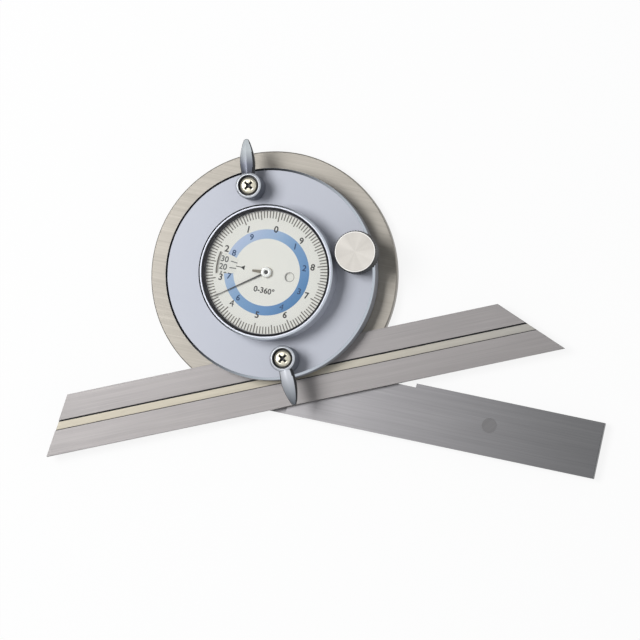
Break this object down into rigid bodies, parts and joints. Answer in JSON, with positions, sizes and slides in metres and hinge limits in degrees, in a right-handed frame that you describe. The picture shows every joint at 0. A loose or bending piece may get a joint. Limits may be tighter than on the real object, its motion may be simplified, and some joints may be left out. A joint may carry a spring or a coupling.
{
  "type": "universal dial bevel protractor",
  "caption": "Angle finder with a round base and fixed arm, a turning housing with a sliding blade, a geared clock dial, a fine setting knob and clamp levers.",
  "frame": {"origin": "on the pivot axis, in the plane of the base disc's flat back", "axes": "+X along the fixed arm away from the pivot, +Y across it towards the pivot's side, +Z out of the dial"},
  "size_m": [0.2037, 0.1317, 0.0245],
  "materials": {
    "base_steel": "brushed",
    "arm_steel": "brushed along the arm",
    "plug_steel": "brushed",
    "blade_steel": "brushed along the blade",
    "hub_steel": "turned",
    "dark_screw": "blackened",
    "bright_screw": "polished",
    "gear_brass": "cut and lacquered",
    "movement_brass": "brushed",
    "dial_white": "satin enamel, printed",
    "degree_white": "satin enamel, printed",
    "housing_anodised": "satin, pale blue-grey anodised",
    "crystal_glass": "clear polished",
    "bezel_alloy": "satin, turned",
    "pointer_black": "blued",
    "knob_steel": "turned face, serrated rim",
    "lever_chrome": "polished chrome"
  },
  "bodies": {
    "base": {"base_disc": "base_steel", "arm": "arm_steel", "arm_plug": "plug_steel", "arm_screws": "dark_screw", "pivot_hub": "hub_steel", "hub_screws": "dark_screw", "ring_gear": "gear_brass", "ring_gear_screws": "dark_screw", "train_bridge": "movement_brass", "bridge_screws": "dark_screw", "dial_post": "movement_brass", "dial_plate": "dial_white"},
    "housing": {"housing_body": "housing_anodised", "housing_cover": "housing_anodised", "cover_screws": "dark_screw", "sun_gear": "gear_brass", "sun_gear_screws": "dark_screw", "degree_disc": "degree_white", "crystal": "crystal_glass", "bezel": "bezel_alloy", "knob_bush": "movement_brass", "lever_washers": "bright_screw", "brake_shoe": "movement_brass", "blade_claw": "hub_steel", "blade_guide_keys": "hub_steel"},
    "train": {"train_arbor": "hub_steel", "train_wheel": "gear_brass"},
    "pointer": {"pointer_arbor": "hub_steel", "pointer": "pointer_black"},
    "knob": {"knob": "knob_steel", "knob_shaft": "hub_steel"},
    "angle_clamp": {"angle_lever": "lever_chrome", "angle_lever_stem": "hub_steel", "angle_lever_screw": "bright_screw"},
    "blade_clamp": {"blade_lever": "lever_chrome", "blade_lever_stem": "hub_steel", "blade_lever_screw": "bright_screw"},
    "blade": {"blade": "blade_steel"}
  },
  "joints": [
    {"name": "housing_turn", "type": "hinge", "parent": "base", "child": "housing", "pos_m": [0, 0, 0], "axis": [0, 0, 1], "continuous": true},
    {"name": "train_turn", "type": "hinge", "parent": "base", "child": "train", "pos_m": [0, 0.0105, 0], "axis": [0, 0, 1], "continuous": true},
    {"name": "pointer_turn", "type": "hinge", "parent": "base", "child": "pointer", "pos_m": [0, 0, 0], "axis": [0, 0, 1], "continuous": true},
    {"name": "knob_turn", "type": "hinge", "parent": "housing", "child": "knob", "pos_m": [0.03147, 0.01414, 0], "axis": [0, 0, 1], "continuous": true},
    {"name": "angle_lever_turn", "type": "hinge", "parent": "housing", "child": "angle_clamp", "pos_m": [-0.01316, 0.03026, 0], "axis": [0, 0, 1], "range_deg": [-15, 75]},
    {"name": "blade_lever_turn", "type": "hinge", "parent": "housing", "child": "blade_clamp", "pos_m": [0.01316, -0.03026, 0], "axis": [0, 0, 1], "range_deg": [-15, 75]},
    {"name": "blade_slide", "type": "slide", "parent": "housing", "child": "blade", "axis": [0.9171, 0.3987, 0], "range_m": [-0.055, 0.055]}
  ],
  "couplings": [
    {"joint": "train_turn", "follows": "housing_turn", "ratio": -6},
    {"joint": "pointer_turn", "follows": "housing_turn", "ratio": 36},
    {"joint": "knob_turn", "follows": "housing_turn", "ratio": 8.2}
  ]
}
